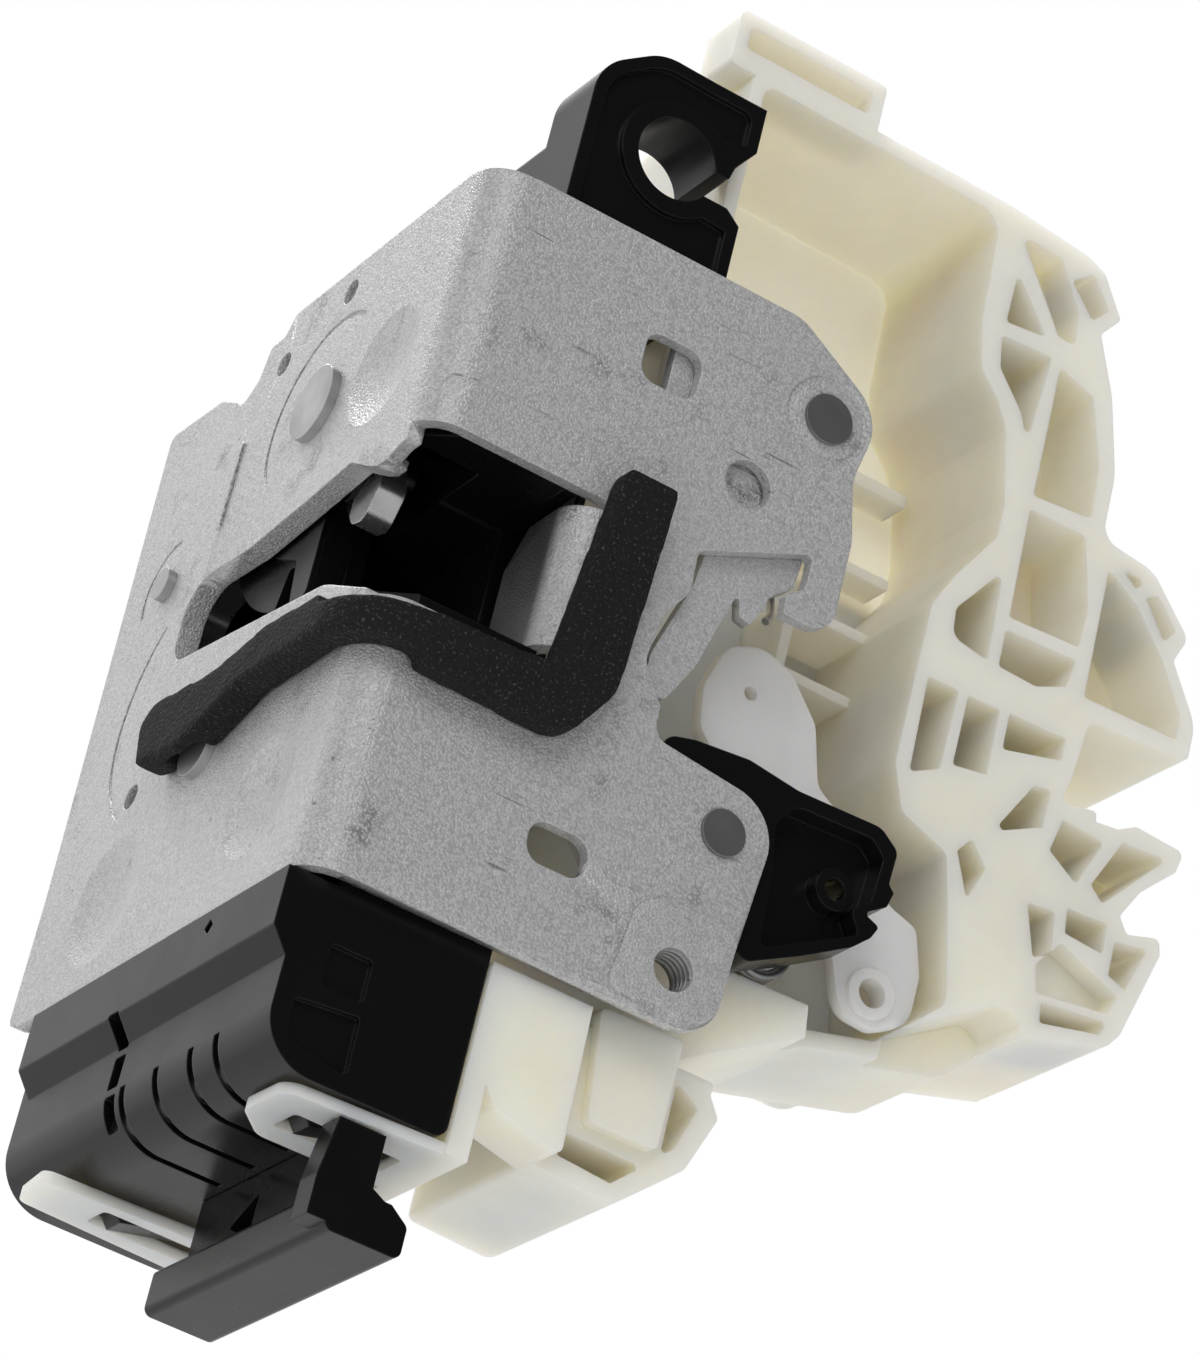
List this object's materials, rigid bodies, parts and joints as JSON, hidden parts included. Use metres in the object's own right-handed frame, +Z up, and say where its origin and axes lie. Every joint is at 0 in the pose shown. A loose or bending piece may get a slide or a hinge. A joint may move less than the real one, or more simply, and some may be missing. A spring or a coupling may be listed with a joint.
{
  "type": "door latch actuator",
  "caption": "Vehicle door latch with a bent steel frame, claw and pawl, release levers and a moulded actuator housing with a motor driven lock lever.",
  "frame": {"origin": "corner of the rear mounting face and the side mounting face, at the height of the striker slot's centre line", "axes": "+X forward, away from the rear mounting face; +Y outward to inward, away from the side mounting face; +Z up along the bend of the frame"},
  "size_m": [0.1374, 0.0962, 0.1992],
  "materials": {
    "plated_steel": "satin",
    "rivet_steel": "satin",
    "bright_steel": "polished",
    "spring_steel": "satin",
    "black_plastic": "satin",
    "black_cover": "gloss",
    "ivory_plastic": "satin",
    "pale_plastic": "satin",
    "foam": "matte",
    "bumper_rubber": "matte",
    "copper_alloy": "satin"
  },
  "bodies": {
    "frame": {"frame_plate": "plated_steel", "claw_pin": "rivet_steel", "pawl_pin": "rivet_steel", "frame_rivet": "rivet_steel", "release_lever_pin": "rivet_steel", "handle_lever_pin": "rivet_steel", "latch_housing": "black_plastic", "backing_plate": "rivet_steel", "striker_bumper": "bumper_rubber", "claw_spring": "spring_steel", "pawl_spring": "spring_steel", "claw_switch": "black_plastic", "pawl_switch": "black_plastic", "release_spring": "spring_steel", "handle_spring": "spring_steel", "foam_seal": "foam", "cable_clip": "black_plastic", "actuator_housing": "ivory_plastic", "actuator_cover": "ivory_plastic", "cover_screws": "rivet_steel", "motor_can": "rivet_steel", "motor_end_cap": "black_plastic", "carrier_bracket": "ivory_plastic", "connector_housing": "black_plastic", "guard_bar": "black_plastic", "terminal_pins": "copper_alloy"},
    "claw": {"claw": "bright_steel", "claw_cover": "black_cover"},
    "pawl": {"pawl": "bright_steel", "pawl_cover": "black_cover"},
    "release_lever": {"release_lever": "bright_steel"},
    "handle_lever": {"handle_lever": "black_plastic"},
    "lock_lever": {"lock_lever": "pale_plastic", "worm_wheel": "pale_plastic"},
    "worm": {"worm_shaft": "bright_steel"}
  },
  "joints": [
    {"name": "claw_pivot", "type": "hinge", "parent": "frame", "child": "claw", "pos_m": [0.0066, 0.0373, 0.0256], "axis": [1, 0, 0], "range_deg": [0, 45], "stiffness_Nm_per_rad": 0.05},
    {"name": "pawl_pivot", "type": "hinge", "parent": "frame", "child": "pawl", "pos_m": [0.0066, 0.0444, -0.0263], "axis": [-1, 0, 0], "range_deg": [0, 8], "stiffness_Nm_per_rad": 0.05},
    {"name": "release_lever_pivot", "type": "hinge", "parent": "frame", "child": "release_lever", "pos_m": [0.0576, 0.0033, 0.0372], "axis": [0, -1, 0], "range_deg": [0, 8]},
    {"name": "handle_lever_pivot", "type": "hinge", "parent": "frame", "child": "handle_lever", "pos_m": [0.0562, 0.0051, -0.028], "axis": [0, 1, 0], "range_deg": [0, 20], "stiffness_Nm_per_rad": 0.04},
    {"name": "lock_pivot", "type": "hinge", "parent": "frame", "child": "lock_lever", "pos_m": [0.076, 0.0146, -0.015], "axis": [0, 1, 0], "range_deg": [0, 9]},
    {"name": "worm_spin", "type": "hinge", "parent": "frame", "child": "worm", "pos_m": [0.0934, 0.0485, -0.015], "axis": [0, 0, 1], "range_deg": [0, 252]}
  ],
  "couplings": [
    {"joint": "release_lever_pivot", "follows": "pawl_pivot", "ratio": 1},
    {"joint": "worm_spin", "follows": "lock_pivot", "ratio": 28}
  ]
}
